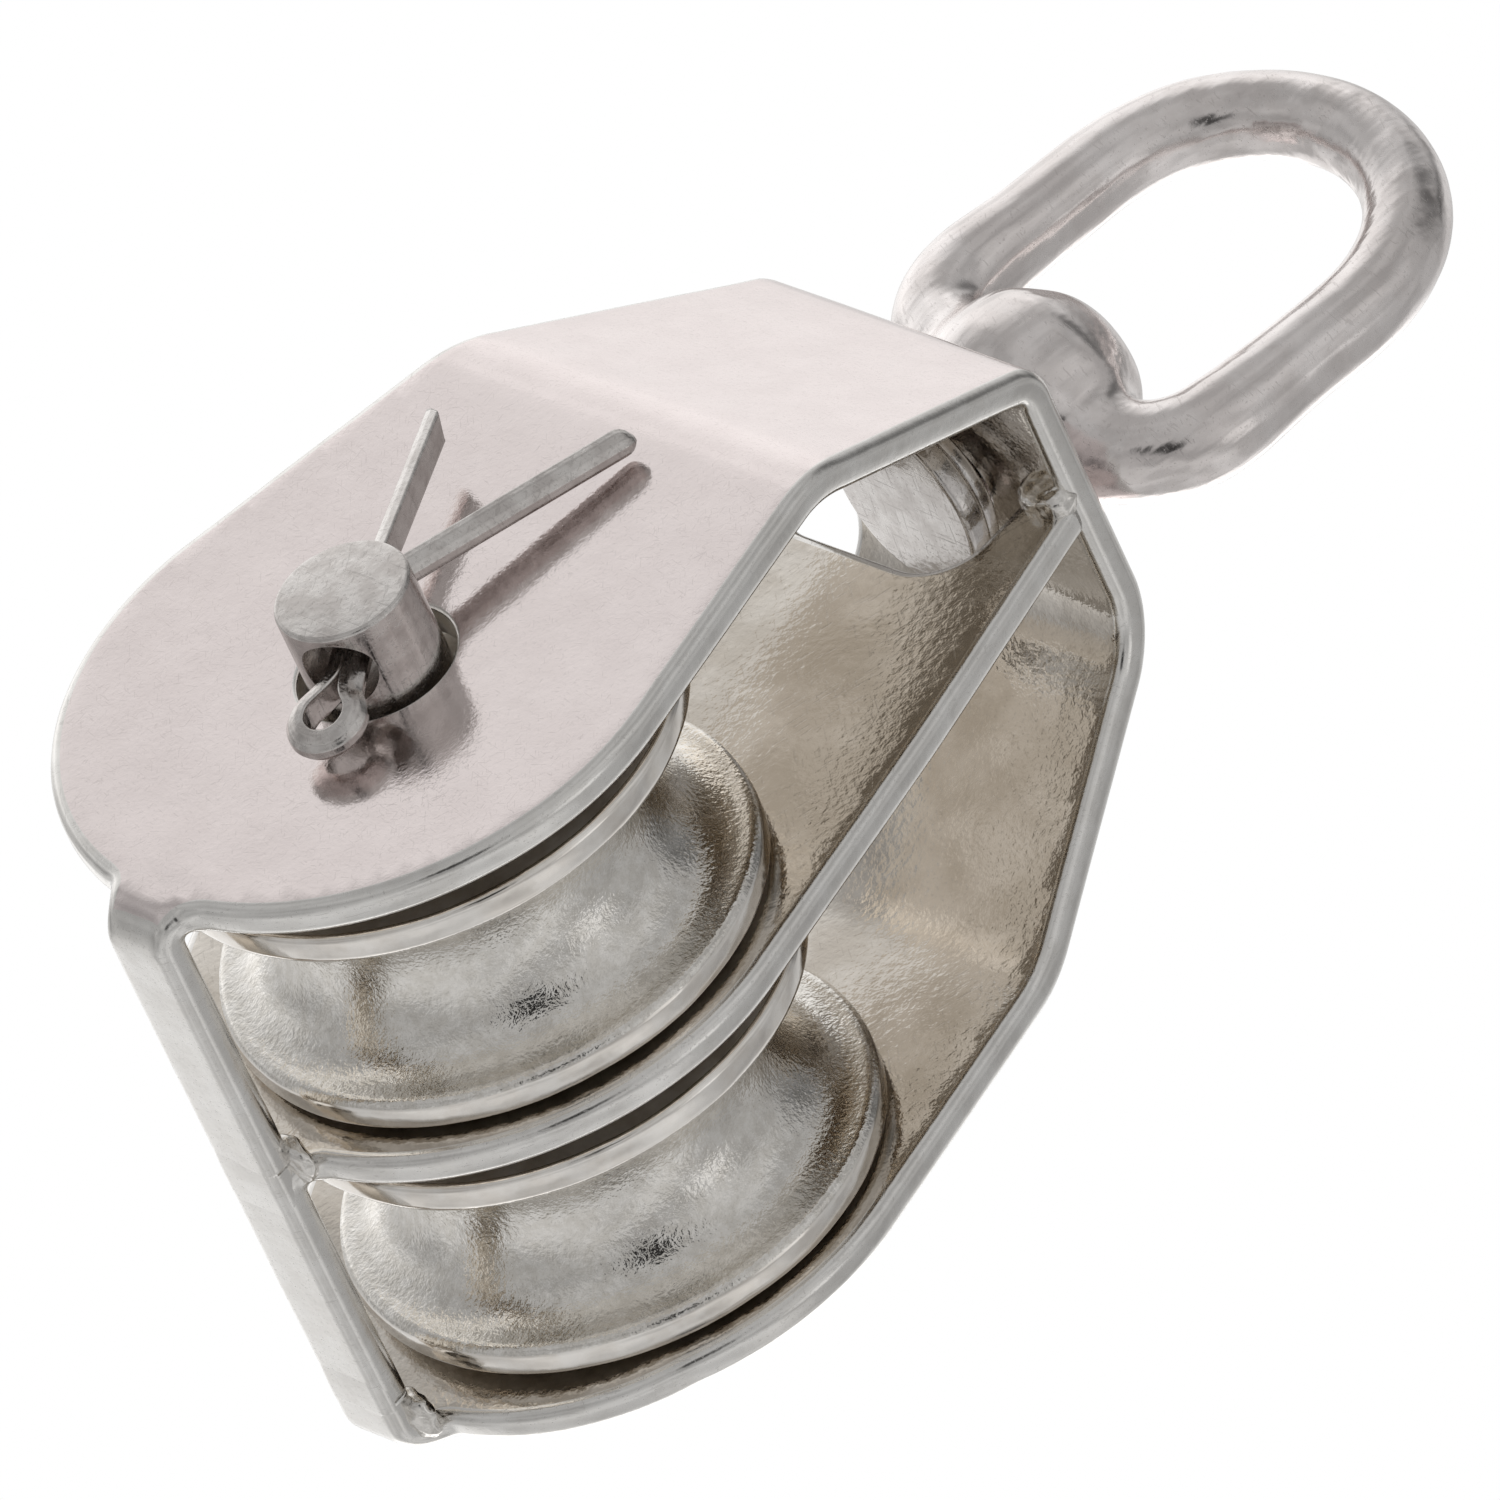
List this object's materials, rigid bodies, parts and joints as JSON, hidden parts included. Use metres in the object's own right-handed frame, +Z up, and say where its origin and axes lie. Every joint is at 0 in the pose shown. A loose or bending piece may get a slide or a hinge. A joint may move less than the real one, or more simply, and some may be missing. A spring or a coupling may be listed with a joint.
{
  "type": "double sheave block",
  "caption": "Double sheave pulley block with a bent sheet frame, a centre plate, grooved sheaves on a pinned axle and a swivelling oval eye.",
  "frame": {"origin": "the point inside the crown of the eye that a hook or shackle bears on", "axes": "+Z up along the block from the bottom bar to the eye, +Y from the front cheek to the rear cheek along the axle, +X to the right seen from the front cheek"},
  "size_m": [0.05, 0.0638, 0.1269],
  "materials": {
    "polished_sheet": "polished bright steel sheet with fine scratches and a slight ripple",
    "cast_sheave": "bright plated casting, pebbled in the groove and polished on the lips",
    "forged_eye": "bright polished forging with soft dents",
    "turned_steel": "turned and drawn steel, duller than the sheet",
    "weld": "lumpy bright weld metal"
  },
  "bodies": {
    "eye": {"swivel_eye": "forged_eye", "swivel_pin": "turned_steel", "swivel_washer": "turned_steel"},
    "frame": {"outer_strap": "polished_sheet", "centre_plate": "polished_sheet", "weld_bar_centre": "weld", "weld_bar_rear": "weld", "weld_bridge_left": "weld", "weld_bridge_right": "weld"},
    "axle": {"axle_pin": "turned_steel", "split_pin": "turned_steel"},
    "front_sheave": {"front_sheave": "cast_sheave"},
    "rear_sheave": {"rear_sheave": "cast_sheave"}
  },
  "joints": [
    {"name": "eye_swivel", "type": "hinge", "parent": "eye", "child": "frame", "pos_m": [-0.00282, -0.0032, -0.03864], "axis": [0.0724, 0.0824, 0.994], "continuous": true},
    {"name": "axle_turn", "type": "hinge", "parent": "frame", "child": "axle", "pos_m": [-0.00282, -0.0032, -0.09105], "axis": [0, 1, 0], "continuous": true},
    {"name": "front_sheave_spin", "type": "hinge", "parent": "frame", "child": "front_sheave", "pos_m": [-0.00092, -0.0149, -0.09244], "axis": [0, 1, 0], "continuous": true},
    {"name": "rear_sheave_spin", "type": "hinge", "parent": "frame", "child": "rear_sheave", "pos_m": [-0.00092, 0.01069, -0.09244], "axis": [0, 1, 0], "continuous": true}
  ]
}
